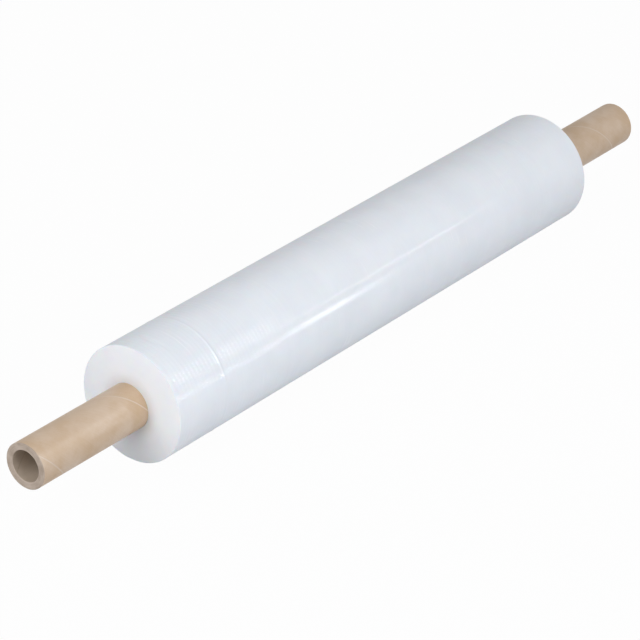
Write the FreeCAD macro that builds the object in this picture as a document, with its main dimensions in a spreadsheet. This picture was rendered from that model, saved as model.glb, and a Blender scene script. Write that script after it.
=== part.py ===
"""Stretch wrap roll: clear film wound on a long paper tube whose bare ends serve as hand grips.

The roll lies along X with +Z up. The origin is on the ground under the middle of the roll, in the
middle of the small flat that the film takes where it lies. All sizes are in millimetres.

Two real pieces make the roll:
  core_tube   a spiral-wound paperboard tube, whose outermost ply leaves its butt seam along the
              outside as a right-handed helix
  film_roll   the wound film as one solid: its outline is the spiral of the last turn with the
              film's free edge at the back, its ends are crowned, and gauge bands ring its outside
"""
import FreeCAD, Part
import math
import os
import Sketcher
from FreeCAD import Vector

doc = FreeCAD.newDocument("StretchWrapRoll")


# Driving dimensions, in millimetres

SIZES = [
    # alias, value, meaning
    ("film_width", "500", "width of the film, from rim to rim of the wound roll"),
    ("film_diameter", "90", "outside diameter of the wound film, at its free edge"),
    ("core_diameter", "35", "outside diameter of the paper tube, which the film is wound on"),
    ("core_wall", "5.5", "wall of the paper tube"),
    ("core_overhang", "110", "bare length of tube beyond the film's rim, at each end"),
    ("core_edge_chamfer", "0.4", "softened edge on the tube's sawn ends"),
    ("seam_pitch", "96.4", "advance of the outermost ply's seam in one turn round the tube"),
    ("seam_crossing", "38.2", "where the seam crosses the -Y side, from the roll's middle"),
    ("seam_gap", "0.9", "width of the butt gap between the edges of the outermost ply"),
    ("ply_thickness", "0.2", "thickness of the outermost ply, which is the depth of the gap"),
    ("end_crown", "2.5", "how far the first turns stand out of the film's rim"),
    ("rim_radius", "1", "rounding of the film's rim"),
    ("tail_step", "0.2", "step down at the film's free edge, where its folded tail ends"),
    ("flat_width", "10", "width of the flat that the roll lies on"),
    ("first_band", "51", "distance of the single gauge band from the film's -X rim"),
    ("second_band", "131", "distance of the double gauge band from the film's -X rim"),
    ("band_spacing", "4", "distance between the two ridges of the double band"),
    ("band_width", "1.6", "width of one ridge of a gauge band"),
    ("band_height", "0.25", "height of a ridge above the film beside it"),
]

sheet = doc.addObject("Spreadsheet::Sheet", "Sizes")
for row, (alias, value, meaning) in enumerate(SIZES, start=1):
    sheet.set(f"A{row}", alias)
    sheet.set(f"B{row}", value)
    sheet.set(f"C{row}", meaning)
    sheet.setAlias(f"B{row}", alias)
doc.recompute()


# Sizes that follow from the driving ones

CORE_RADIUS = "(Sizes.core_diameter / 2)"
BORE_RADIUS = f"({CORE_RADIUS} - Sizes.core_wall)"
CORE_LENGTH = "(Sizes.film_width + 2 * Sizes.core_overhang)"
FILM_RADIUS = "(Sizes.film_diameter / 2)"
FILM_RIM = "(Sizes.film_width / 2)"
FILM_END = f"({FILM_RIM} + Sizes.end_crown)"
QUARTER_STEP = "(Sizes.tail_step / 4)"
RADIUS_BELOW = f"({FILM_RADIUS} - 3 * {QUARTER_STEP})"
AXIS_HEIGHT = f"sqrt({RADIUS_BELOW} ^ 2 - (Sizes.flat_width / 2) ^ 2)"

# A cutting profile runs past what it cuts by this much
OVERRUN = "Sizes.core_wall"


# Bodies and sketches

START, END, CENTRE = 1, 2, 3
ORIGIN = (-1, 1)


def size(expression):
    """The number that an expression of the sheet's aliases gives now."""
    value = sheet.evalExpression(expression)
    return float(getattr(value, "Value", value))


def new_body(name):
    """An empty body whose X axis is the roll's axis, at the height where the roll lies."""
    body = doc.addObject("PartDesign::Body", name)
    body.Label = name
    body.setExpression("Placement.Base.z", AXIS_HEIGHT)
    return body


def origin_of(body, role):
    """One of a body's own origin planes or axes."""
    return next(item for item in body.Origin.OriginFeatures if item.Role == role)


def new_sketch(body, name, plane):
    """An empty sketch on one of the body's own origin planes."""
    sketch = body.newObject("Sketcher::SketchObject", name)
    sketch.AttachmentSupport = (origin_of(body, plane), [""])
    sketch.MapMode = "FlatFace"
    return sketch


def drive(sketch, name, kind, *where, to):
    """Adds a dimension to a sketch and binds it to an expression."""
    index = sketch.addConstraint(Sketcher.Constraint(kind, *where, size(to)))
    sketch.renameConstraint(index, name)
    sketch.setExpression(f"Constraints.{name}", to)


def drive_point(sketch, name, geometry, point, x, y):
    """Holds a point at the X and Y that two expressions give."""
    drive(sketch, f"{name}_x", "DistanceX", *ORIGIN, geometry, point, to=x)
    drive(sketch, f"{name}_y", "DistanceY", *ORIGIN, geometry, point, to=y)


def join(sketch, *pairs):
    """Makes the two points of each pair coincide."""
    for pair in pairs:
        sketch.addConstraint(Sketcher.Constraint("Coincident", *pair))


def add_circle(sketch, name, radius):
    """Adds a circle round the sketch's origin."""
    circle = sketch.addGeometry(Part.Circle(Vector(0, 0, 0), Vector(0, 0, 1), size(radius)))
    join(sketch, (circle, CENTRE, *ORIGIN))
    drive(sketch, name, "Radius", circle, to=radius)


def add_arc(sketch, x, y, radius, from_angle, to_angle):
    """Adds an arc between two angles in radians, where expressions put it, with nothing held yet."""
    circle = Part.Circle(Vector(size(x), size(y), 0), Vector(0, 0, 1), size(radius))
    return sketch.addGeometry(Part.ArcOfCircle(circle, from_angle, to_angle))


def align(sketch, direction, *pairs):
    """Puts the two points of each pair in line, "Horizontal" or "Vertical"."""
    for pair in pairs:
        sketch.addConstraint(Sketcher.Constraint(direction, *pair))


def add_lines(sketch, points):
    """Adds lines through a row of points, each joined to the next."""
    lines = [sketch.addGeometry(Part.LineSegment(a, b)) for a, b in zip(points, points[1:])]
    join(sketch, *((line, END, following, START) for line, following in zip(lines, lines[1:])))
    return lines


def add_outline(sketch, corners):
    """Adds a closed outline of lines, each corner given by expressions for its X and Y."""
    points = [Vector(size(x), size(y), 0) for x, y in corners]
    lines = add_lines(sketch, points + points[:1])
    join(sketch, (lines[-1], END, lines[0], START))
    for number, (line, (x, y)) in enumerate(zip(lines, corners), start=1):
        drive_point(sketch, f"corner{number}", line, START, x, y)


# The paper tube

core = new_body("core_tube")

tube_section = new_sketch(core, "TubeSection", "YZ_Plane")
add_circle(tube_section, "outside", CORE_RADIUS)
add_circle(tube_section, "bore", BORE_RADIUS)

tube_wall = core.newObject("PartDesign::Pad", "TubeWall")
tube_wall.Profile = tube_section
tube_wall.Midplane = True
tube_wall.setExpression("Length", CORE_LENGTH)
doc.recompute()

sawn_edges = core.newObject("PartDesign::Chamfer", "SawnEdges")
sawn_edges.Base = (
    tube_wall,
    [
        f"Edge{number}"
        for number, edge in enumerate(tube_wall.Shape.Edges, start=1)
        if isinstance(edge.Curve, Part.Circle)
    ],
)
sawn_edges.setExpression("Size", "Sizes.core_edge_chamfer")
doc.recompute()


# The seam's section stands on the -Y side beyond one end of the tube, a whole number of turns before
# the place where the seam crosses that side, and its helix leaves beyond the other end
TURNS_BEFORE = f"ceil(({CORE_LENGTH} / 2 + Sizes.seam_crossing) / Sizes.seam_pitch)"
SEAM_START = f"(Sizes.seam_crossing - {TURNS_BEFORE} * Sizes.seam_pitch)"
GAP_FLOOR = f"({CORE_RADIUS} - Sizes.ply_thickness)"
GAP_TOP = f"({CORE_RADIUS} + Sizes.ply_thickness)"

seam_section = new_sketch(core, "SeamSection", "XY_Plane")
add_outline(
    seam_section,
    [
        (f"{SEAM_START} - Sizes.seam_gap / 2", f"-{GAP_TOP}"),
        (f"{SEAM_START} - Sizes.seam_gap / 2", f"-{GAP_FLOOR}"),
        (f"{SEAM_START} + Sizes.seam_gap / 2", f"-{GAP_FLOOR}"),
        (f"{SEAM_START} + Sizes.seam_gap / 2", f"-{GAP_TOP}"),
    ],
)

ply_seam = core.newObject("PartDesign::SubtractiveHelix", "PlySeam")
ply_seam.Profile = seam_section
ply_seam.ReferenceAxis = (origin_of(core, "X_Axis"), [""])
ply_seam.Mode = "pitch-height-angle"
ply_seam.setExpression("Pitch", "Sizes.seam_pitch")
ply_seam.setExpression("Height", f"{CORE_LENGTH} / 2 - {SEAM_START} + Sizes.seam_gap")
core.Tip = ply_seam
doc.recompute()


# The wound film

film = new_body("film_roll")


def turn_section(name, radius, hole_radius):
    """A ring that lies on the YZ plane and whose outside is the spiral of one turn.

    Four quarter arcs make the spiral. Their centres are the corners of a small square, so that
    each radius is a quarter of the step less than the one before and the arcs are tangent where
    they join. The step closes the turn on the +Y side.
    """
    sketch = new_sketch(film, name, "YZ_Plane")
    out = f"{QUARTER_STEP} / 2"
    back = f"-{out}"
    quarter = math.pi / 2
    arcs = []
    for number, (x, y) in enumerate([(out, back), (out, out), (back, out), (back, back)]):
        guess = f"{radius} - {number} * {QUARTER_STEP} - {out}"
        arc = add_arc(sketch, x, y, guess, number * quarter, (number + 1) * quarter)
        drive_point(sketch, f"centre{number}", arc, CENTRE, x, y)
        arcs.append(arc)
    join(sketch, *((arc, END, following, START) for arc, following in zip(arcs, arcs[1:])))
    right, top, left, bottom = arcs
    drive(sketch, "first_radius", "Radius", right, to=f"{radius} - {out}")
    align(sketch, "Vertical", (right, CENTRE, right, END), (left, CENTRE, left, END))
    align(sketch, "Horizontal", (top, CENTRE, top, END), (bottom, CENTRE, bottom, END))
    align(sketch, "Horizontal", (right, CENTRE, right, START))
    step, = add_lines(sketch, [sketch.getPoint(bottom, END), sketch.getPoint(right, START)])
    join(sketch, (bottom, END, step, START), (step, END, right, START))
    add_circle(sketch, "hole", hole_radius)
    return sketch


wound_turns = film.newObject("PartDesign::Pad", "WoundTurns")
wound_turns.Profile = turn_section("LastTurn", FILM_RADIUS, CORE_RADIUS)
wound_turns.Midplane = True
wound_turns.setExpression("Length", f"2 * ({FILM_END} + {OVERRUN})")
doc.recompute()

# The crown is an arc that leaves the tube square and would reach the film's radius at the rim
FACE_HEIGHT = f"({FILM_RADIUS} - {CORE_RADIUS})"
CROWN_RADIUS = f"(({FACE_HEIGHT} ^ 2 + Sizes.end_crown ^ 2) / (2 * Sizes.end_crown))"
CROWN_CENTRE = f"({FILM_END} - {CROWN_RADIUS})"

# The rim's arc is level one step above the film, so it meets each part of the last turn at a slant
RIM_CENTRE_UP = f"({FILM_RADIUS} + Sizes.tail_step - Sizes.rim_radius)"
RIM_CENTRE_ALONG = (
    f"({CROWN_CENTRE} + sqrt(({CROWN_RADIUS} - Sizes.rim_radius) ^ 2"
    f" - ({RIM_CENTRE_UP} - {CORE_RADIUS}) ^ 2))"
)


def crown_section():
    """What is turned away from the +X end: all that lies outside its crowned face and round rim."""
    sketch = new_sketch(film, "CrownSection", "XY_Plane")
    along = size(RIM_CENTRE_ALONG) - size(CROWN_CENTRE)
    up = size(RIM_CENTRE_UP) - size(CORE_RADIUS)
    joint = math.atan2(up, along)
    crown = add_arc(sketch, CROWN_CENTRE, CORE_RADIUS, CROWN_RADIUS, 0, joint)
    rim = add_arc(sketch, RIM_CENTRE_ALONG, RIM_CENTRE_UP, "Sizes.rim_radius", joint, math.pi / 2)
    foot = sketch.getPoint(crown, START)
    top = sketch.getPoint(rim, END)
    beyond = f"{FILM_END} + 2 * {OVERRUN}"
    above = f"{FILM_RADIUS} + {OVERRUN}"
    below = f"{CORE_RADIUS} - {OVERRUN}"
    rise, over, down, back, close = add_lines(
        sketch,
        [
            top,
            Vector(top.x, size(above), 0),
            Vector(size(beyond), size(above), 0),
            Vector(size(beyond), size(below), 0),
            Vector(foot.x, size(below), 0),
            foot,
        ],
    )
    join(sketch, (rim, END, rise, START), (close, END, crown, START))
    for line, direction in (
        (rise, "Vertical"),
        (over, "Horizontal"),
        (down, "Vertical"),
        (back, "Horizontal"),
        (close, "Vertical"),
    ):
        sketch.addConstraint(Sketcher.Constraint(direction, line))
    drive_point(sketch, "crown_centre", crown, CENTRE, CROWN_CENTRE, CORE_RADIUS)
    drive(sketch, "crown_radius", "Radius", crown, to=CROWN_RADIUS)
    drive(sketch, "rim_radius", "Radius", rim, to="Sizes.rim_radius")
    drive(sketch, "rim_height", "DistanceY", *ORIGIN, rim, CENTRE, to=RIM_CENTRE_UP)
    sketch.addConstraint(Sketcher.Constraint("Tangent", crown, END, rim, START))
    align(sketch, "Horizontal", (crown, CENTRE, crown, START))
    align(sketch, "Vertical", (rim, CENTRE, rim, END))
    drive_point(sketch, "outer_corner", over, END, beyond, above)
    drive(sketch, "lower_side", "DistanceY", *ORIGIN, down, END, to=below)
    return sketch


crown_ahead = film.newObject("PartDesign::Groove", "CrownAhead")
crown_ahead.Profile = crown_section()
crown_ahead.ReferenceAxis = (origin_of(film, "X_Axis"), [""])
doc.recompute()

crown_behind = film.newObject("PartDesign::Mirrored", "CrownBehind")
crown_behind.Originals = [crown_ahead]
crown_behind.MirrorPlane = (origin_of(film, "YZ_Plane"), [""])
film.Tip = crown_behind
doc.recompute()

# A gauge band is where the film is thicker, so its ridge follows the spiral of the last turn
RIDGES = {
    "SingleBand": "Sizes.first_band",
    "DoubleBandNear": "(Sizes.second_band - Sizes.band_spacing / 2)",
    "DoubleBandFar": "(Sizes.second_band + Sizes.band_spacing / 2)",
}

for name, from_rim in RIDGES.items():
    section = turn_section(
        f"{name}Section",
        f"{FILM_RADIUS} + Sizes.band_height",
        f"{FILM_RADIUS} - {OVERRUN}",
    )
    section.setExpression("AttachmentOffset.Base.z", f"{from_rim} - {FILM_RIM}")
    ridge = film.newObject("PartDesign::Pad", name)
    ridge.Profile = section
    ridge.Midplane = True
    ridge.setExpression("Length", "Sizes.band_width")
    doc.recompute()

# The flat is where the ground is
GROUND = f"-{AXIS_HEIGHT}"
UNDER_GROUND = f"-({FILM_RADIUS} + {OVERRUN})"

below_ground = new_sketch(film, "BelowGround", "YZ_Plane")
add_outline(
    below_ground,
    [
        (f"-{FILM_RADIUS}", GROUND),
        (FILM_RADIUS, GROUND),
        (FILM_RADIUS, UNDER_GROUND),
        (f"-{FILM_RADIUS}", UNDER_GROUND),
    ],
)
lying_flat = film.newObject("PartDesign::Pocket", "LyingFlat")
lying_flat.Profile = below_ground
lying_flat.Midplane = True
lying_flat.setExpression("Length", f"2 * ({FILM_END} + {OVERRUN})")
film.Tip = lying_flat
doc.recompute()


# Checks, then one file for each piece

CUTS = (
    "PartDesign::Chamfer",
    "PartDesign::SubtractiveHelix",
    "PartDesign::Groove",
    "PartDesign::Mirrored",
    "PartDesign::Pocket",
)
ADDITIONS = ("PartDesign::Pad",)

for item in doc.Objects:
    if "Invalid" in item.State or "Error" in item.State:
        raise RuntimeError(f"{item.Label} failed: {item.State}")

os.makedirs("parts", exist_ok=True)
for body in (core, film):
    for feature in body.Group:
        before = getattr(feature, "BaseFeature", None)
        if before is None:
            continue
        change = feature.Shape.Volume - before.Shape.Volume
        if feature.TypeId in CUTS and change >= 0:
            raise RuntimeError(f"{feature.Label} cuts nothing")
        if feature.TypeId in ADDITIONS and change <= 0:
            raise RuntimeError(f"{feature.Label} adds nothing")
    shape = body.Shape
    if shape.isNull() or not shape.isValid() or len(shape.Solids) != 1:
        raise RuntimeError(f"{body.Label} is not one sound solid")
    shape.exportStep(f"parts/{body.Label}.step")
    print(f"{body.Label}: {shape.Volume / 1000:.1f} cm3")
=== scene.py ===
"""Dresses the stretch wrap roll: clear film wound on a spiral paper core that sticks out at both ends.

Lengths are in metres and angles in degrees, in the part's own frame: the roll's axis runs along X
at the height of the core's middle, and +Z is up. A place on the roll is given by its distance
along X from the middle, and by its bearing, which is 0 on the -Y side and 90 on top.
"""

import logging
import math
from dataclasses import dataclass, field
from enum import Enum
from typing import Callable, Union

import bmesh
import bpy
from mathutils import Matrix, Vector


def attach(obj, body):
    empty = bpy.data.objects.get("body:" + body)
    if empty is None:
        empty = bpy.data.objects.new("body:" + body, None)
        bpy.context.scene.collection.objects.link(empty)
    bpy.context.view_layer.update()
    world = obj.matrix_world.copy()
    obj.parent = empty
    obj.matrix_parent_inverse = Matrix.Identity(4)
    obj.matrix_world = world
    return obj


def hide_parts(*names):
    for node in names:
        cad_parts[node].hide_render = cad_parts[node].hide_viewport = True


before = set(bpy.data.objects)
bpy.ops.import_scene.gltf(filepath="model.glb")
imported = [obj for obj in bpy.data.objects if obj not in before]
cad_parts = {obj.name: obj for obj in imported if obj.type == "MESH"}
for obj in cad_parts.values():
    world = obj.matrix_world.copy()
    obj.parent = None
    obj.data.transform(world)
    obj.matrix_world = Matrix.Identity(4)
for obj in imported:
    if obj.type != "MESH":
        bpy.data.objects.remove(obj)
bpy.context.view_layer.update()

LOG = logging.getLogger("stretch_wrap_roll")
BODY = "root"
MM = 0.001
TURN = math.tau
SHARP_ANGLE = math.radians(30)

Colour = tuple[float, float, float]


# Node trees written as sums and products


class Field:
    """An output of a node, which takes part in sums and products like a number."""

    def __init__(self, graph: "Graph", socket: bpy.types.NodeSocket) -> None:
        """Args: graph: the graph that holds the node. socket: the node's output."""
        self.graph = graph
        self.socket = socket

    def __add__(self, other: "Value") -> "Field":
        """The sum of two values."""
        return self.graph.math("ADD", self, other)

    def __sub__(self, other: "Value") -> "Field":
        """This value less another."""
        return self.graph.math("SUBTRACT", self, other)

    def __mul__(self, other: "Value") -> "Field":
        """The product of two values."""
        return self.graph.math("MULTIPLY", self, other)

    def __truediv__(self, other: "Value") -> "Field":
        """This value divided by another."""
        return self.graph.math("DIVIDE", self, other)

    def __rsub__(self, other: float) -> "Field":
        """A number less this value."""
        return self.graph.math("SUBTRACT", other, self)

    def __neg__(self) -> "Field":
        """This value with its sign turned."""
        return self.graph.math("MULTIPLY", self, -1.0)

    __radd__ = __add__
    __rmul__ = __mul__


Value = Union[float, Field]
Place = tuple[Value, Value, Value]


class Graph:
    """A node tree written as algebra. Materials and Geometry Nodes trees share it."""

    def __init__(self, tree: bpy.types.NodeTree) -> None:
        """Args: tree: the node tree to fill."""
        self.tree = tree

    def add(self, kind: str, inputs: dict | None = None, **settings: object) -> bpy.types.Node:
        """Adds a node.

        Args:
            kind: the node's type name.
            inputs: values or fields by input name or number.
            settings: properties of the node.

        Returns:
            The new node.
        """
        node = self.tree.nodes.new(kind)
        for name, value in settings.items():
            setattr(node, name, value)
        for name, value in (inputs or {}).items():
            self.feed(node.inputs[name], value)
        return node

    def feed(self, socket: bpy.types.NodeSocket, value: object) -> None:
        """Sets an input to a number, vector or material, or links a field or an output to it.

        Args:
            socket: the input.
            value: what it gets.
        """
        if isinstance(value, Field):
            self.tree.links.new(value.socket, socket)
        elif isinstance(value, bpy.types.NodeSocket):
            self.tree.links.new(value, socket)
        else:
            socket.default_value = value

    def math(self, operation: str, *values: Value) -> Field:
        """One arithmetic operation on numbers and fields."""
        node = self.add("ShaderNodeMath", dict(enumerate(values)), operation=operation)
        return Field(self, node.outputs[0])

    def least(self, a: Value, b: Value) -> Field:
        """The smaller of two values."""
        return self.math("MINIMUM", a, b)

    def most(self, a: Value, b: Value) -> Field:
        """The larger of two values."""
        return self.math("MAXIMUM", a, b)

    def cosine(self, angle: Value) -> Field:
        """The cosine of an angle in radians."""
        return self.math("COSINE", angle)

    def sine(self, angle: Value) -> Field:
        """The sine of an angle in radians."""
        return self.math("SINE", angle)

    def root(self, value: Value) -> Field:
        """The square root of a value."""
        return self.math("SQRT", value)

    def bell(self, offset: Field, width: Value) -> Field:
        """A smooth bump of height 1, which falls to about a third at one width from its middle."""
        share = offset / width
        return self.math("EXPONENT", -(share * share))

    def ramp(self, value: Field, low: float, high: float, at_low: float = 0.0, at_high: float = 1.0) -> Field:
        """A smooth change from at_low to at_high while the value goes from low to high."""
        inputs = {"Value": value, "From Min": low, "From Max": high, "To Min": at_low, "To Max": at_high}
        node = self.add("ShaderNodeMapRange", inputs, interpolation_type="SMOOTHSTEP")
        return Field(self, node.outputs["Result"])

    def vector(self, x: Value, y: Value, z: Value) -> Field:
        """A vector of three values."""
        return Field(self, self.add("ShaderNodeCombineXYZ", {0: x, 1: y, 2: z}).outputs[0])

    def split(self, vector: object) -> tuple[Field, Field, Field]:
        """The three parts of a vector."""
        node = self.add("ShaderNodeSeparateXYZ", {0: vector})
        x, y, z = (Field(self, output) for output in node.outputs)
        return x, y, z

    def noise(self, place: Field, detail: float = 2.0, seed: float = 0.0) -> Field:
        """Smooth noise about zero, from -0.5 to 0.5.

        Args:
            place: where it is read, already divided by the size of its features.
            detail: how many finer layers are added.
            seed: a fixed number that picks the pattern.

        Returns:
            The noise.
        """
        inputs = {"Vector": place, "W": seed, "Scale": 1.0, "Detail": detail, "Roughness": 0.5}
        node = self.add("ShaderNodeTexNoise", inputs, noise_dimensions="4D")
        return Field(self, node.outputs[0]) - 0.5


class Shape(Graph):
    """A Geometry Nodes tree with named sizes, which becomes one plain mesh."""

    FINISH_MARK = "finish"

    def __init__(self, name: str, materials: list[bpy.types.Material]) -> None:
        """Args: name: the piece that it makes. materials: what the piece is made of."""
        super().__init__(bpy.data.node_groups.new(name, "GeometryNodeTree"))
        self.name = name
        self.materials = materials
        self.tree.interface.new_socket("Geometry", in_out="OUTPUT", socket_type="NodeSocketGeometry")
        self.source = self.tree.nodes.new("NodeGroupInput")
        self.values: dict[str, float] = {}
        self.parts: list[bpy.types.NodeSocket] = []

    def size(self, name: str, value: float) -> Field:
        """A named size of the tree, with the value that this piece gives it."""
        socket = self.tree.interface.new_socket(name, in_out="INPUT", socket_type="NodeSocketFloat")
        self.values[socket.identifier] = value
        return Field(self, self.source.outputs[name])

    def strip(self, across: int, around: int, place: Callable[[Field, Field], Place], finish: int = 0) -> None:
        """Adds a strip of faces.

        Args:
            across: points across the strip.
            around: points along it.
            place: gives x, y and z from two fields that go from 0 to 1 across and along the strip.
            finish: number of its material.
        """
        grid = self.add("GeometryNodeMeshGrid", {"Vertices X": across, "Vertices Y": around})
        share_across, share_around, _ = self.split(grid.outputs["UV Map"])
        moved = self.add(
            "GeometryNodeSetPosition",
            {"Geometry": grid.outputs["Mesh"], "Position": self.vector(*place(share_across, share_around))},
        )
        marked = self.add(
            "GeometryNodeStoreNamedAttribute",
            {"Geometry": moved.outputs[0], "Name": self.FINISH_MARK, "Value": finish},
            data_type="INT",
            domain="FACE",
        )
        self.parts.append(marked.outputs[0])

    def mesh_object(self, merge_distance: float = 0.002 * MM) -> bpy.types.Object:
        """Joins the strips, evaluates the tree once and keeps the result as a plain mesh.

        Args:
            merge_distance: points nearer than this become one.

        Returns:
            An object at the origin with closed faces that point outwards.
        """
        joined = self.add("GeometryNodeJoinGeometry")
        for part in reversed(self.parts):
            self.tree.links.new(part, joined.inputs[0])
        merged = self.add("GeometryNodeMergeByDistance", {"Geometry": joined.outputs[0], "Distance": merge_distance})
        last = self.add("GeometryNodeRealizeInstances", {"Geometry": merged.outputs[0]}).outputs[0]
        for number, material in enumerate(self.materials):
            mark = self.add("GeometryNodeInputNamedAttribute", {"Name": self.FINISH_MARK}, data_type="INT")
            chosen = self.math("COMPARE", Field(self, mark.outputs[0]), float(number), 0.5)
            inputs = {"Geometry": last, "Selection": chosen, "Material": material}
            last = self.add("GeometryNodeSetMaterial", inputs).outputs[0]
        sink = self.tree.nodes.new("NodeGroupOutput")
        self.tree.links.new(last, sink.inputs[0])

        piece = bpy.data.objects.new(self.name, bpy.data.meshes.new(self.name))
        bpy.context.scene.collection.objects.link(piece)
        modifier = piece.modifiers.new(self.name, "NODES")
        modifier.node_group = self.tree
        for identifier, value in self.values.items():
            modifier[identifier] = value
        depsgraph = bpy.context.evaluated_depsgraph_get()
        mesh = bpy.data.meshes.new_from_object(piece.evaluated_get(depsgraph), depsgraph=depsgraph)
        piece.modifiers.clear()
        piece.data = mesh
        close_and_turn_out(mesh, merge_distance)
        return piece


def close_and_turn_out(mesh: bpy.types.Mesh, merge_distance: float) -> None:
    """Removes faces without area, turns every face outwards and smooths all but the sharp edges.

    Args:
        mesh: the mesh to finish.
        merge_distance: edges shorter than this are dissolved.
    """
    work = bmesh.new()
    work.from_mesh(mesh)
    bmesh.ops.dissolve_degenerate(work, dist=merge_distance, edges=work.edges)
    bmesh.ops.recalc_face_normals(work, faces=work.faces)
    for face in work.faces:
        face.smooth = True
    work.to_mesh(mesh)
    work.free()
    mesh.set_sharp_from_angle(angle=SHARP_ANGLE)


class Finish(Graph):
    """A material under construction: one Principled shader and the nodes that feed it."""

    def __init__(self, name: str) -> None:
        """Args: name: the material's name."""
        self.material = bpy.data.materials.new(name)
        self.material.use_nodes = True
        super().__init__(self.material.node_tree)
        self.tree.nodes.clear()
        self.shader = self.add("ShaderNodeBsdfPrincipled")
        output = self.add("ShaderNodeOutputMaterial")
        self.tree.links.new(self.shader.outputs[0], output.inputs[0])
        coordinates = self.add("ShaderNodeTexCoord")
        self.x, self.y, self.z = self.split(coordinates.outputs["Object"])

    def set(self, **values: object) -> None:
        """Sets the shader's sockets, with an underscore for each space in a socket's name."""
        for name, value in values.items():
            self.feed(self.shader.inputs[name.replace("_", " ")], value)

    def place(self, size: float) -> Field:
        """The object's coordinates, divided by the size of a pattern's features."""
        return self.vector(self.x / size, self.y / size, self.z / size)

    def bearing(self, axis_height: float) -> tuple[Field, Field]:
        """Where a point is round the roll's axis.

        Args:
            axis_height: height of the axis.

        Returns:
            The distance from the axis, and the bearing in radians.
        """
        rise = self.z - axis_height
        return self.root(self.y * self.y + rise * rise), self.math("ARCTAN2", rise, -self.y)

    def blend(self, share: Value, low: object, high: object) -> Field:
        """A colour between two others.

        Args:
            share: 0 for the first colour and 1 for the second.
            low: the first colour.
            high: the second colour.

        Returns:
            The colour.
        """
        node = self.add("ShaderNodeMix", data_type="RGBA")
        self.feed(node.inputs[0], share)
        for socket, colour in ((node.inputs[6], low), (node.inputs[7], high)):
            self.feed(socket, colour if isinstance(colour, Field) else (*colour, 1.0))
        return Field(self, node.outputs[2])

    def emboss(self, *layers: tuple[Field, float], socket: str = "Normal") -> None:
        """Adds relief to the shader.

        Args:
            layers: for each layer, a height from -0.5 to 0.5 and the height's full depth.
            socket: the normal of the whole shader or of its coat.
        """
        normal = None
        for height, depth in layers:
            inputs = {"Height": height, "Distance": depth, "Strength": 1.0}
            if normal is not None:
                inputs["Normal"] = normal
            normal = self.add("ShaderNodeBump", inputs).outputs["Normal"]
        self.feed(self.shader.inputs[socket], normal)


# Finishes


@dataclass(frozen=True)
class WoundFilm:
    """Clear film seen through many turns: milky, faintly blue, with a hard gloss on top."""

    colour: Colour = (0.808, 0.832, 0.862)
    pale: Colour = (0.858, 0.877, 0.902)
    # Colour of the pale wisps, a painted sheen of fine creases in the film.
    crease_sheen_colour: Colour = (0.95, 0.955, 0.97)
    roughness: float = 0.38
    gloss: float = 0.16
    gloss_roughness: float = 0.14
    glow: float = 0.2
    glow_depth: float = 2.0 * MM
    line_width: float = 0.8 * MM
    line_length: float = 60 * MM
    line_depth: float = 0.0015 * MM
    cloud_size: float = 30 * MM
    wisp_width: float = 1.7 * MM
    wisp_length: float = 30 * MM
    wisp_patch: float = 34 * MM
    comb_pitch: float = 3.8 * MM
    comb_width: float = 0.7 * MM
    comb_depth: float = 0.11 * MM
    comb_fading: float = -150 * MM
    comb_end: float = -112 * MM

    def material(self, axis_height: float, radius: float) -> bpy.types.Material:
        """Builds the finish of the roll's outside, with fine lines that run round it.

        Args:
            axis_height: height of the roll's axis.
            radius: outside radius of the wound film.

        Returns:
            The material.
        """
        finish = Finish("wound_film_side")
        _, bearing = finish.bearing(axis_height)
        reach = radius / self.line_length
        lines = finish.noise(
            finish.vector(finish.x / self.line_width, finish.cosine(bearing) * reach, finish.sine(bearing) * reach),
            detail=3.0,
            seed=1.0,
        )
        clouds = finish.noise(finish.place(self.cloud_size), detail=3.0, seed=2.0)
        share = finish.ramp(clouds + lines * 0.4, -0.3, 0.3)
        # Pale wisps round the roll: painted sheen of fine creases in the film.
        reach = radius / self.wisp_length
        wisps = finish.noise(
            finish.vector(finish.x / self.wisp_width, finish.cosine(bearing) * reach, finish.sine(bearing) * reach),
            detail=1.0,
            seed=17.0,
        )
        patches = finish.noise(finish.place(self.wisp_patch), detail=1.0, seed=18.0)
        crease_sheen_share = finish.ramp(wisps, 0.05, 0.25) * finish.ramp(patches, 0.05, 0.2)
        finish.set(
            Base_Color=finish.blend(crease_sheen_share * 0.7, finish.blend(share, self.colour, self.pale), self.crease_sheen_colour),
            Roughness=self.roughness,
            IOR=1.5,
            Specular_IOR_Level=0.0,
            Coat_Weight=self.gloss,
            Coat_Roughness=self.gloss_roughness,
            Subsurface_Weight=self.glow,
            Subsurface_Scale=self.glow_depth,
        )
        finish.emboss((lines, self.line_depth))
        ridge = finish.x / self.comb_pitch
        off_ridge = (ridge - finish.math("ROUND", ridge)) * self.comb_pitch
        fading = finish.ramp(finish.x, self.comb_fading, self.comb_end, 1.0, 0.0)
        comb = finish.bell(off_ridge, self.comb_width) * fading
        finish.emboss((lines, self.line_depth), (comb, self.comb_depth), socket="Coat Normal")
        return finish.material


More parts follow.
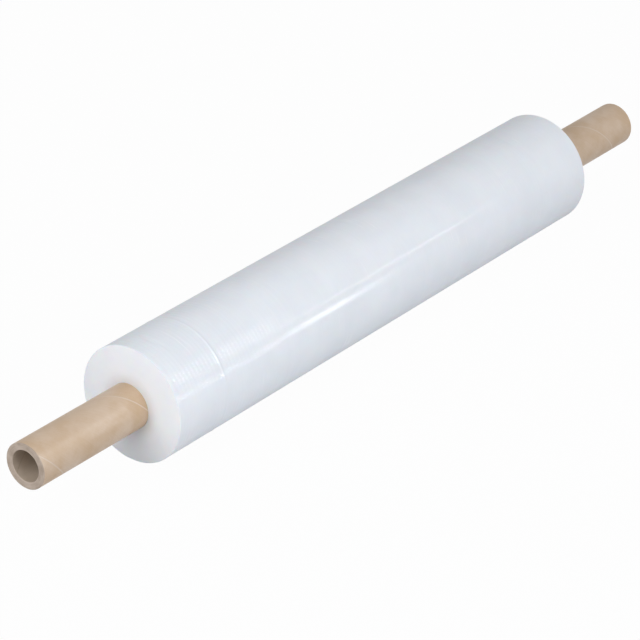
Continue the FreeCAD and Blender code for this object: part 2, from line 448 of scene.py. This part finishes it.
@dataclass(frozen=True)
class TurnEdges:
    """The edges of several hundred turns of film, which show as a satin, milky ring at each end."""

    colour: Colour = (0.885, 0.893, 0.91)
    # Darker, browner colour near the core: partly the core's colour seen through the film, partly painted shade.
    inner_tint_and_shade: Colour = (0.775, 0.76, 0.755)
    pale: Colour = (0.915, 0.92, 0.93)
    roughness: float = 0.42
    along_turns: float = 0.75
    glow: float = 0.3
    glow_depth: float = 3.0 * MM
    ring_width: float = 0.5 * MM
    ring_depth: float = 0.004 * MM
    core_radius: float = 17.5 * MM
    tint_and_shade_width: float = 11 * MM

    def material(self, axis_height: float) -> bpy.types.Material:
        """Builds the finish, with rings that follow the turns and painted shade near the core.

        Args:
            axis_height: height of the roll's axis.

        Returns:
            The material.
        """
        finish = Finish("wound_film_face")
        out, bearing = finish.bearing(axis_height)
        rings = finish.noise(
            finish.vector(out / self.ring_width, finish.cosine(bearing), finish.sine(bearing)), detail=3.0, seed=3.0
        )
        clouds = finish.noise(finish.place(18 * MM), detail=2.0, seed=4.0)
        share = finish.ramp(clouds + rings * 0.5, -0.3, 0.3)
        # Painted shade: the face turns darker and browner towards the core, partly the core's colour seen through the
        # film and partly painted shade where the core meets the face.
        core_tint_and_shade = finish.ramp(out, self.core_radius, self.core_radius + self.tint_and_shade_width, 1.0, 0.0)
        turns = finish.blend(core_tint_and_shade, self.colour, self.inner_tint_and_shade)
        tangent = finish.add("ShaderNodeTangent", direction_type="RADIAL", axis="X")
        finish.set(
            Base_Color=finish.blend(share * (1.0 - core_tint_and_shade), turns, self.pale),
            Roughness=self.roughness,
            IOR=1.5,
            Specular_IOR_Level=0.35,
            Anisotropic=self.along_turns,
            Tangent=tangent.outputs[0],
            Subsurface_Weight=self.glow,
            Subsurface_Scale=self.glow_depth,
        )
        finish.emboss((rings, self.ring_depth))
        return finish.material


@dataclass(frozen=True)
class KraftPly:
    """The outermost paper ply: matt grey-tan, its fibres along the helix, its edges paler at the seam."""

    colour: Colour = (0.545, 0.385, 0.245)
    pale: Colour = (0.635, 0.495, 0.372)
    seam_colour: Colour = (0.65, 0.53, 0.42)
    roughness: float = 0.45
    fibre_width: float = 0.9 * MM
    fibre_length: float = 14 * MM
    fibre_depth: float = 0.008 * MM
    grain_size: float = 0.35 * MM
    grain_depth: float = 0.012 * MM
    patch_size: float = 22 * MM

    def material(self, core: "CoreTube") -> bpy.types.Material:
        """Builds the finish.

        Args:
            core: the tube, for its sizes.

        Returns:
            The material.
        """
        finish = Finish("kraft_ply")
        _, bearing = finish.bearing(core.axis_height)
        turns = (finish.x - core.seam_crossing) / core.seam_pitch + bearing / TURN
        off_seam = finish.math("ABSOLUTE", turns - finish.math("ROUND", turns)) * core.seam_pitch
        at_seam = finish.ramp(off_seam, 0.3 * MM, 0.8 * MM, 0.9, 0.0)
        lengthwise = finish.vector(
            turns * (core.seam_pitch / self.fibre_width),
            finish.cosine(bearing) * (core.radius / self.fibre_length),
            finish.sine(bearing) * (core.radius / self.fibre_length),
        )
        fibres = finish.noise(lengthwise, detail=4.0, seed=5.0)
        grain = finish.noise(finish.place(self.grain_size), detail=3.0, seed=6.0)
        patches = finish.noise(finish.place(self.patch_size), detail=3.0, seed=7.0)
        share = finish.ramp(patches * 1.3 + fibres * 0.25 + grain * 0.35, -0.3, 0.3)
        paper = finish.blend(share, self.colour, self.pale)
        finish.set(
            Base_Color=finish.blend(at_seam, paper, self.seam_colour),
            Roughness=self.roughness,
            IOR=1.45,
            Specular_IOR_Level=0.3,
        )
        finish.emboss((fibres, self.fibre_depth), (grain, self.grain_depth))
        return finish.material


@dataclass(frozen=True)
class SawnPaper:
    """The tube's sawn end: the edges of the plies, slightly furred and greyer than the outside."""

    colour: Colour = (0.40, 0.315, 0.245)
    pale: Colour = (0.555, 0.455, 0.37)
    roughness: float = 0.9
    ply_thickness: float = 0.55 * MM
    patch_size: float = 9 * MM
    grain_size: float = 0.3 * MM
    grain_depth: float = 0.06 * MM

    def material(self, core: "CoreTube") -> bpy.types.Material:
        """Builds the finish, with rings for the plies.

        Args:
            core: the tube, for its sizes.

        Returns:
            The material.
        """
        finish = Finish("sawn_paper")
        out, bearing = finish.bearing(core.axis_height)
        plies = finish.noise(
            finish.vector(out / self.ply_thickness, finish.cosine(bearing) * 2.0, finish.sine(bearing) * 2.0),
            detail=2.0,
            seed=8.0,
        )
        grain = finish.noise(finish.place(self.grain_size), detail=3.0, seed=9.0)
        lips = finish.ramp(out, core.bore_radius, core.bore_radius + 0.7 * MM, 0.35, 0.0)
        patches = finish.noise(finish.place(self.patch_size), detail=2.0, seed=19.0)
        share = finish.ramp(plies * 0.7 + grain * 0.6 + patches * 1.2 + lips, -0.35, 0.35)
        finish.set(
            Base_Color=finish.blend(share, self.colour, self.pale),
            Roughness=self.roughness,
            IOR=1.45,
            Specular_IOR_Level=0.2,
        )
        finish.emboss((grain, self.grain_depth), (plies, self.grain_depth))
        return finish.material


@dataclass(frozen=True)
class BorePaper:
    """The innermost ply, plain brown-grey paper with its own faint seam."""

    colour: Colour = (0.43, 0.34, 0.25)
    pale: Colour = (0.54, 0.44, 0.345)
    seam_colour: Colour = (0.39, 0.305, 0.22)
    roughness: float = 0.85
    grain_size: float = 0.5 * MM
    grain_depth: float = 0.015 * MM

    def material(self, core: "CoreTube") -> bpy.types.Material:
        """Builds the finish.

        Args:
            core: the tube, for its sizes.

        Returns:
            The material.
        """
        finish = Finish("bore_paper")
        _, bearing = finish.bearing(core.axis_height)
        turns = (finish.x - core.seam_crossing) / core.seam_pitch + bearing / TURN + 0.5
        off_seam = finish.math("ABSOLUTE", turns - finish.math("ROUND", turns)) * core.seam_pitch
        grain = finish.noise(finish.place(self.grain_size), detail=3.0, seed=10.0)
        patches = finish.noise(finish.place(15 * MM), detail=2.0, seed=11.0)
        share = finish.ramp(patches + grain * 0.4, -0.3, 0.3)
        paper = finish.blend(share, self.colour, self.pale)
        at_seam = finish.ramp(off_seam, 0.3 * MM, 0.7 * MM, 0.6, 0.0)
        finish.set(
            Base_Color=finish.blend(at_seam, paper, self.seam_colour),
            Roughness=self.roughness,
            IOR=1.45,
            Specular_IOR_Level=0.25,
        )
        finish.emboss((grain, self.grain_depth))
        return finish.material


# The paper core


@dataclass
class CoreTube:
    """The spiral-wound paper tube, with the butt seam of its outermost ply as a helical gap."""

    axis_height: float = 44.57042 * MM
    radius: float = 17.5 * MM
    bore_radius: float = 12.0 * MM
    half_length: float = 360 * MM
    edge_chamfer: float = 0.4 * MM
    seam_pitch: float = 96.4 * MM
    seam_crossing: float = 38.2 * MM
    seam_gap: float = 0.9 * MM
    ply_thickness: float = 0.07 * MM
    end_fur: float = 0.12 * MM
    rows: int = 120
    first_turn: int = -4
    turns: int = 10
    columns: int = 13
    piece: bpy.types.Object | None = field(default=None, init=False)

    def build(self) -> None:
        """Makes the tube's mesh from strips: four that follow the helix, and the ends and the bore."""
        materials = [KraftPly().material(self), SawnPaper().material(self), BorePaper().material(self)]
        shape = Shape("paper_core", materials)
        radius = shape.size("Outside radius", self.radius)
        bore = shape.size("Bore radius", self.bore_radius)
        pitch = shape.size("Seam pitch", self.seam_pitch)
        crossing = shape.size("Seam crossing", self.seam_crossing)
        half_gap = shape.size("Seam gap", self.seam_gap) * 0.5
        floor = radius - shape.size("Ply thickness", self.ply_thickness)
        edge = self.half_length - self.edge_chamfer

        def at(x: Value, out: Value, turn: Field) -> Place:
            """A point at a distance from the axis, with the bearing counted in turns."""
            angle = turn * TURN
            return x, -(out * shape.cosine(angle)), shape.sine(angle) * out + self.axis_height

        def along_helix(start: Value, end: Value, out_start: Value, out_end: Value, count: int = 2) -> None:
            """Adds a strip that follows the seam, between two distances from its middle."""

            def place(across: Field, along: Field) -> Place:
                """Where a point of the strip is, kept between the tube's ends."""
                turn = along * float(self.turns) + float(self.first_turn)
                x = crossing - pitch * turn + start + across * (end - start)
                inside = shape.math("LESS_THAN", shape.math("ABSOLUTE", x), edge)
                out = radius - inside * (radius - out_start - across * (out_end - out_start))
                return at(shape.most(shape.least(x, edge), -edge), out, turn)

            shape.strip(count, self.turns * self.rows + 1, place)

        foot = half_gap * 0.98
        along_helix(half_gap, pitch - half_gap, radius, radius, self.columns)
        along_helix(foot, half_gap, floor, radius)
        along_helix(-half_gap, -foot, radius, floor)
        along_helix(-foot, foot, floor, floor)

        def ring(x_start: float, x_end: float, out_start: Value, out_end: Value, count: int, finish: int) -> None:
            """Adds a strip round the axis, between two distances along X and two from the axis."""

            def place(across: Field, around: Field) -> Place:
                """Where a point of the strip is."""
                return at(across * (x_end - x_start) + x_start, out_start + across * (out_end - out_start), around)

            shape.strip(count, self.rows + 1, place, finish)

        for side in (-1.0, 1.0):
            end = side * self.half_length
            low = side * edge
            ring(low, end, radius, radius - self.edge_chamfer, 2, 1)
            self.sawn_ring(shape, at, end, radius, bore)
            ring(end, low, bore + self.edge_chamfer, bore, 2, 1)
        ring(-edge, edge, bore, bore, 61, 2)
        self.piece = shape.mesh_object()

    def sawn_ring(self, shape: Shape, at: Callable, end: float, radius: Field, bore: Field) -> None:
        """Adds a sawn end, furred a little where the saw tore the plies.

        Args:
            shape: the tree that it goes in.
            at: gives a point from a distance along X, a distance from the axis and a bearing in turns.
            end: where the end is along X.
            radius: the tube's outside radius.
            bore: the tube's bore radius.
        """
        side = math.copysign(1.0, end)
        outer = radius - self.edge_chamfer
        inner = bore + self.edge_chamfer

        def place(across: Field, around: Field) -> Place:
            """Where a point of the end is, pushed in by the fur."""
            angle = around * TURN
            out = outer + across * (inner - outer)
            spot = shape.vector(
                shape.cosine(angle) * (out / (1.2 * MM)), shape.sine(angle) * (out / (1.2 * MM)), side
            )
            middle = shape.ramp(across, 0.0, 0.15) * shape.ramp(across, 0.85, 1.0, 1.0, 0.0)
            depth = (shape.noise(spot, seed=12.0) + 0.5) * middle * self.end_fur
            return at(depth * -side + end, out, around)

        shape.strip(15, self.rows + 1, place, 1)

    def dress(self) -> None:
        """Puts the tube in place of the CAD node."""
        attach(self.piece, BODY)
        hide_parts("core_tube")


# The wound film


@dataclass(frozen=True)
class Crease:
    """A soft crease in the last turn of film."""

    x: float
    bearing: float
    length: float
    width: float
    slant: float
    depth: float


@dataclass
class FilmRoll:
    """The wound film: the spiral of its last turn, crowned ends, gauge bands and fine ridges."""

    axis_height: float = 44.57042 * MM
    radius: float = 45 * MM
    core_radius: float = 17.5 * MM
    half_width: float = 250 * MM
    end_crown: float = 2.5 * MM
    rim_radius: float = 1.0 * MM
    tail_step: float = 0.2 * MM
    tail_waver: float = 0.8 * MM
    band_places: tuple[float, ...] = (-199 * MM, -121 * MM, -117 * MM)
    band_width: float = 1.8 * MM
    band_heights: tuple[float, ...] = (0.16 * MM, 0.05 * MM, 0.05 * MM)
    comb_pitch: float = 3.8 * MM
    comb_depth: float = 0.012 * MM
    sag_depth: float = 0.10 * MM
    sag_length: float = 70 * MM
    creases: tuple[Crease, ...] = (
        Crease(142 * MM, 103, 16 * MM, 2.2 * MM, 62, 0.25 * MM),
        Crease(176 * MM, 86, 14 * MM, 2.0 * MM, 48, 0.20 * MM),
        Crease(196 * MM, 92, 18 * MM, 2.4 * MM, 70, 0.25 * MM),
        Crease(-232 * MM, 93, 15 * MM, 2.2 * MM, 75, 0.25 * MM),
        Crease(-70 * MM, 205, 24 * MM, 2.6 * MM, 55, 0.10 * MM),
        Crease(60 * MM, 235, 20 * MM, 2.4 * MM, 120, 0.10 * MM),
    )
    rows: int = 122
    comb_columns: int = 401
    plain_columns: int = 201
    face_columns: int = 41
    piece: bpy.types.Object | None = field(default=None, init=False)

    @property
    def crown_radius(self) -> float:
        """Radius of the arc that the ends are turned to."""
        height = self.radius - self.core_radius
        return (height**2 + self.end_crown**2) / (2 * self.end_crown)

    @property
    def crown_centre(self) -> float:
        """Distance of that arc's centre from the roll's middle."""
        return self.half_width + self.end_crown - self.crown_radius

    @property
    def rim_centre(self) -> tuple[float, float]:
        """Where the rim's rounding has its centre, along X and out from the axis."""
        out = self.radius + self.tail_step - self.rim_radius
        reach = self.crown_radius - self.rim_radius
        return self.crown_centre + math.sqrt(reach**2 - (out - self.core_radius) ** 2), out

    @property
    def rim_joint(self) -> float:
        """The angle at which the crown's arc passes into the rim's rounding, in radians."""
        x, out = self.rim_centre
        return math.atan2(out - self.core_radius, x - self.crown_centre)

    def build(self) -> None:
        """Makes the film's mesh from strips that all go round the axis from the free edge."""
        side_finish = WoundFilm().material(self.axis_height, self.radius)
        shape = Shape("wound_film", [side_finish, TurnEdges().material(self.axis_height)])
        radius = shape.size("Outside radius", self.radius)
        step = shape.size("Tail step", self.tail_step)
        core_radius = shape.size("Core radius", self.core_radius)
        comb_depth = shape.size("Comb depth", self.comb_depth)
        comb_end = self.band_places[-1] + 4 * self.band_width
        face_end = self.half_width + self.end_crown

        def turn_of(around: Field) -> tuple[Field, Field]:
            """The angle from the free edge, and how far the spiral has come in there."""
            share = shape.least(around * ((self.rows - 1) / (self.rows - 2)), 1.0)
            closing = shape.math("GREATER_THAN", around, 1 - 0.5 / (self.rows - 1))
            return share * TURN, step * share * (1.0 - closing)

        def at(x: Value, out: Value, angle: Field) -> Place:
            """A point of the roll, no lower than the ground that it lies on."""
            waver = shape.noise(shape.vector(x / (40 * MM), 0.0, 0.0), seed=13.0) * (self.tail_waver / self.radius)
            turned = angle + waver
            height = shape.sine(turned) * out + self.axis_height
            return x, shape.cosine(turned) * out, shape.most(height, 0.0)

        def side(x_start: float, x_end: float) -> Callable[[Field, Field], Place]:
            """The outside of the film between two distances along X."""

            def place(across: Field, around: Field) -> Place:
                """Where a point of the outside is."""
                angle, drop = turn_of(around)
                plain = radius - drop
                rim_x, rim_out = self.rim_centre
                rise = (plain - rim_out) / self.rim_radius
                reach = shape.root(1.0 - rise * rise) * self.rim_radius + rim_x
                x = across * (x_end - x_start) + x_start
                x = shape.most(shape.least(x, reach), -reach)
                return at(x, plain + self.relief(shape, x, angle, comb_depth), angle)

            return place

        def bore(across: Field, around: Field) -> Place:
            """Where a point of the film's inside is, on the core."""
            angle, _ = turn_of(around)
            return at(across * (2 * face_end) - face_end, core_radius, angle)

        shape.strip(self.comb_columns, self.rows, side(-self.half_width, comb_end))
        shape.strip(self.plain_columns, self.rows, side(comb_end, self.half_width))
        shape.strip(2, self.rows, bore, 1)
        for sign in (-1.0, 1.0):
            self.rim_and_face(shape, sign, turn_of, at, radius, core_radius)
        self.piece = shape.mesh_object()

    def relief(self, shape: Shape, x: Field, angle: Field, comb_depth: Field) -> Field:
        """How far the outside stands out of the plain spiral: bands out, everything else in.

        Args:
            shape: the tree that it goes in.
            x: distance along X.
            angle: angle from the free edge, in radians.
            comb_depth: depth of the fine ridges that run round the roll.

        Returns:
            The height, which is nought at the rims.
        """
        bearing = math.pi - angle
        away = shape.ramp(shape.math("ABSOLUTE", x), self.half_width - 5 * MM, self.half_width - 1 * MM, 1.0, 0.0)
        bands: Value = 0.0
        for place, height in zip(self.band_places, self.band_heights):
            bands = shape.bell(x - place, self.band_width * 0.6) * height + bands
        wave = shape.cosine((x / self.comb_pitch) * TURN) * 0.5 - 0.5
        waning = shape.ramp(x, self.band_places[-1] - 20 * MM, self.band_places[-1] + 14 * MM, 1.0, 0.0)
        comb = wave * comb_depth * waning
        spot = shape.vector(x / self.sag_length, shape.cosine(angle) * 1.3, shape.sine(angle) * 1.3)
        sag = (shape.noise(spot, detail=2.0, seed=15.0) - 0.5) * self.sag_depth
        folds: Value = 0.0
        for crease in self.creases:
            folds = self.fold(shape, crease, x, bearing) + folds
        return (comb + sag - folds) * away + bands

    def fold(self, shape: Shape, crease: Crease, x: Field, bearing: Field) -> Field:
        """The depth of one crease.

        Args:
            shape: the tree that it goes in.
            crease: the crease.
            x: distance along X.
            bearing: bearing in radians.

        Returns:
            Its depth at the point.
        """
        slant = math.radians(crease.slant)
        off = bearing - math.radians(crease.bearing)
        off = (off - shape.math("ROUND", off / TURN) * TURN) * self.radius
        dx = x - crease.x
        along = dx * math.cos(slant) + off * math.sin(slant)
        aside = off * math.cos(slant) - dx * math.sin(slant)
        bend = along * along * (0.35 / crease.length)
        return shape.bell(aside + bend, crease.width) * shape.bell(along, crease.length) * crease.depth

    def rim_and_face(
        self, shape: Shape, sign: float, turn_of: Callable, at: Callable, radius: Field, core_radius: Field
    ) -> None:
        """Adds the rounded rim and the crowned face of one end.

        Args:
            shape: the tree that they go in.
            sign: -1 or 1, for the end's side along X.
            turn_of: gives the angle and the spiral's drop.
            at: gives a point from a distance along X, a distance from the axis and an angle.
            radius: outside radius at the free edge.
            core_radius: radius of the core.
        """
        rim_x, rim_out = self.rim_centre
        joint = self.rim_joint

        def rim(across: Field, around: Field) -> Place:
            """Where a point of the rim is."""
            angle, drop = turn_of(around)
            top = shape.math("ARCSINE", (radius - drop - rim_out) / self.rim_radius)
            lean = top + across * (joint - top)
            x = (shape.cosine(lean) * self.rim_radius + rim_x) * sign
            return at(x, shape.sine(lean) * self.rim_radius + rim_out, angle)

        def face(across: Field, around: Field) -> Place:
            """Where a point of the face is, its turns a little uneven."""
            angle, _ = turn_of(around)
            lean = (1.0 - across) * joint
            rise = shape.sine(lean) * self.crown_radius
            spot = shape.vector(rise / (1.1 * MM), shape.cosine(angle), sign)
            ends = shape.ramp(across, 0.0, 0.06) * shape.ramp(across, 0.94, 1.0, 1.0, 0.0)
            uneven = (shape.noise(spot, seed=16.0) + 0.5) * ends * (0.05 * MM)
            x = (shape.cosine(lean) * self.crown_radius + self.crown_centre - uneven) * sign
            return at(x, rise + core_radius, angle)

        shape.strip(8, self.rows, rim, 0)
        shape.strip(self.face_columns, self.rows, face, 1)

    def dress(self) -> None:
        """Puts the film in place of the CAD node."""
        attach(self.piece, BODY)
        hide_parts("film_roll")


# The studio


class LampUse(Enum):
    """What a lamp is for: to light the roll, or to be seen in its gloss only."""

    FILL = "fill"
    GLINT = "glint"


@dataclass(frozen=True)
class Softbox:
    """A rectangular lamp that faces a point."""

    name: str
    use: LampUse
    place: tuple[float, float, float]
    aim: tuple[float, float, float]
    width: float
    height: float
    radiance: float
    colour: Colour = (1.0, 1.0, 1.0)

    def build(self) -> None:
        """Makes the lamp, its width level."""
        data = bpy.data.lights.new(self.name, "AREA")
        data.color = self.colour
        data.shape = "RECTANGLE"
        data.size, data.size_y = self.width, self.height
        data.energy = self.radiance * math.pi * self.width * self.height
        lamp = bpy.data.objects.new(self.name, data)
        lamp.location = self.place
        toward = Vector(self.aim) - Vector(self.place)
        lamp.rotation_euler = toward.to_track_quat("-Z", "Y").to_euler()
        lamp.visible_camera = False
        lamp.visible_diffuse = self.use is LampUse.FILL
        bpy.context.scene.collection.objects.link(lamp)


def seen_as_background(graph: Graph) -> Field:
    """1 for the rays that show the background: to the camera, in gloss and through clear things."""
    path = graph.add("ShaderNodeLightPath")
    camera, glossy, clear = (
        Field(graph, path.outputs[name]) for name in ("Is Camera Ray", "Is Glossy Ray", "Is Transmission Ray")
    )
    return graph.least(camera + glossy + clear, 1.0)


@dataclass(frozen=True)
class Studio:
    """Plain soft light, a pale floor and the camera."""

    camera_place: tuple[float, float, float] = (-1.7588, -1.3477, 1.1649)
    camera_back: tuple[float, float, float] = (-0.6983, -0.5462, 0.4627)
    lens: float = 185.2
    sensor: float = 36.0
    surroundings: Colour = (0.425, 0.43, 0.445)
    floor_size: float = 12.0
    floor_colour: Colour = (0.55, 0.555, 0.57)
    floor_own_light: float = 0.975
    lamps: tuple[Softbox, ...] = (
        Softbox("key", LampUse.FILL, (-1.72, 0.03, 1.14), (0.0, 0.0, 0.045), 1.7, 1.4, 2.6, (0.97, 1.0, 1.04)),
        Softbox("front", LampUse.FILL, (-0.25, -1.95, 0.75), (-0.1, 0.0, 0.045), 1.3, 0.9, 4.9, (0.97, 1.0, 1.04)),
        Softbox("line", LampUse.GLINT, (0.80, -0.742, 0.376), (0.80, 0.0, 0.045), 0.40, 0.03, 24.0, (1.0, 0.88, 0.8)),
        Softbox("dashes_above", LampUse.GLINT, (0.355, -0.68, 0.578), (0.355, 0.0, 0.045), 0.06, 0.33, 120.0),
        Softbox("dashes_below", LampUse.GLINT, (0.375, -0.846, 0.125), (0.375, 0.0, 0.045), 0.06, 0.14, 120.0),
        Softbox("dashes_far", LampUse.GLINT, (0.72, -0.846, 0.125), (0.72, 0.0, 0.045), 0.05, 0.14, 80.0),
    )

    def build(self) -> None:
        """Makes the camera, the lamps, the world and the floor."""
        scene = bpy.context.scene
        scene.view_settings.view_transform = "Standard"
        self.build_camera(scene)
        self.build_world(scene)
        self.build_floor()
        for lamp in self.lamps:
            lamp.build()
            LOG.info("lamp %s", lamp.name)

    def build_camera(self, scene: bpy.types.Scene) -> None:
        """Makes the camera at the photograph's angle.

        Args:
            scene: the scene that gets it.
        """
        data = bpy.data.cameras.new("camera")
        data.lens, data.sensor_width = self.lens, self.sensor
        data.clip_start, data.clip_end = 0.1, 50.0
        camera = bpy.data.objects.new("camera", data)
        camera.location = self.camera_place
        camera.rotation_euler = (-Vector(self.camera_back)).to_track_quat("-Z", "Y").to_euler()
        scene.collection.objects.link(camera)
        scene.camera = camera

    def build_world(self, scene: bpy.types.Scene) -> None:
        """Makes a plain world that the camera sees as white.

        Args:
            scene: the scene that gets it.
        """
        world = bpy.data.worlds.new("studio")
        world.use_nodes = True
        scene.world = world
        graph = Graph(world.node_tree)
        world.node_tree.nodes.clear()
        light = graph.add("ShaderNodeBackground", {"Color": (*self.surroundings, 1.0), "Strength": 1.0})
        white = graph.add("ShaderNodeBackground", {"Color": (1.0, 1.0, 1.0, 1.0), "Strength": 1.0})
        mixed = graph.add(
            "ShaderNodeMixShader", {0: seen_as_background(graph), 1: light.outputs[0], 2: white.outputs[0]}
        )
        graph.add("ShaderNodeOutputWorld", {"Surface": mixed.outputs[0]})

    def build_floor(self) -> None:
        """Makes the floor, whose own light shows to the camera only and leaves a faint shadow."""
        half = self.floor_size / 2
        mesh = bpy.data.meshes.new("floor")
        mesh.from_pydata([(-half, -half, 0), (half, -half, 0), (half, half, 0), (-half, half, 0)], [], [(0, 1, 2, 3)])
        floor = bpy.data.objects.new("floor", mesh)
        bpy.context.scene.collection.objects.link(floor)
        material = bpy.data.materials.new("floor")
        material.use_nodes = True
        material.node_tree.nodes.clear()
        graph = Graph(material.node_tree)
        matt = graph.add("ShaderNodeBsdfDiffuse", {"Color": (*self.floor_colour, 1.0)})
        white = graph.add("ShaderNodeEmission", {"Color": (1.0, 1.0, 1.0, 1.0), "Strength": 1.0})
        share = seen_as_background(graph) * self.floor_own_light
        mixed = graph.add("ShaderNodeMixShader", {0: share, 1: matt.outputs[0], 2: white.outputs[0]})
        graph.add("ShaderNodeOutputMaterial", {"Surface": mixed.outputs[0]})
        mesh.materials.append(material)


def main() -> None:
    """Builds the studio and the two pieces, and reports each."""
    logging.basicConfig(level=logging.INFO, format="%(name)s: %(message)s")
    Studio().build()
    for part in (CoreTube(), FilmRoll()):
        part.build()
        part.dress()
        LOG.info("%s has %d faces", part.piece.name, len(part.piece.data.polygons))


if __name__ == "__main__":
    main()
